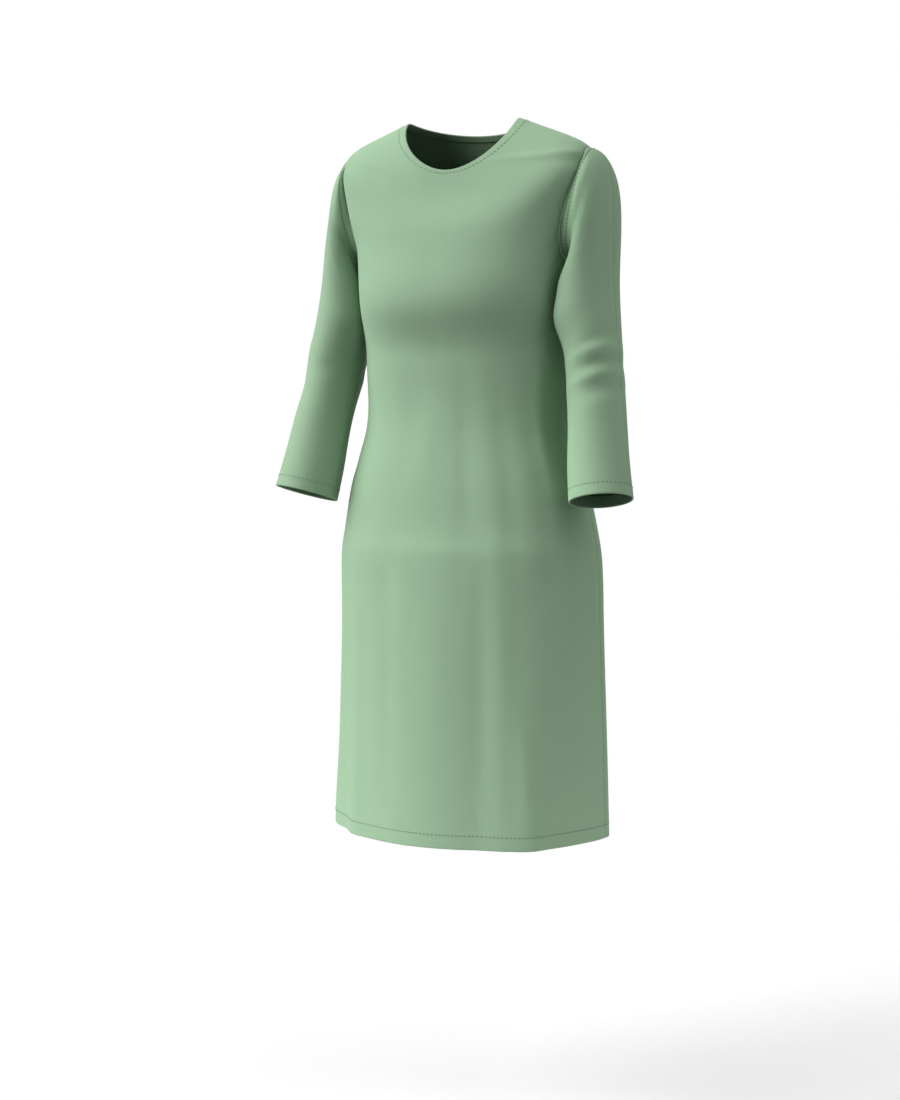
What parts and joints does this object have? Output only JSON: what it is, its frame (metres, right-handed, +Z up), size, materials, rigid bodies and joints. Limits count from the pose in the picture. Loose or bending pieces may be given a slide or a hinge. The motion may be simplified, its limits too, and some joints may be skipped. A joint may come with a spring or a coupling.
{
  "type": "shift dress",
  "caption": "Knee-length shift dress with a round neck and three-quarter set-in sleeves, hollow and in its worn shape.",
  "frame": {"origin": "inside the neck opening, on the wearer's upright axis, level with the inner ends of the shoulder seams", "axes": "+Z up, +X to the wearer's left, -Y towards the front of the dress"},
  "size_m": [0.516, 0.2572, 0.9571],
  "materials": {
    "cloth": "matte sage green knit"
  },
  "bodies": {
    "root": {"front": "cloth", "back": "cloth", "sleeve_left_front": "cloth", "sleeve_left_back": "cloth", "sleeve_right_front": "cloth", "sleeve_right_back": "cloth"}
  },
  "joints": []
}
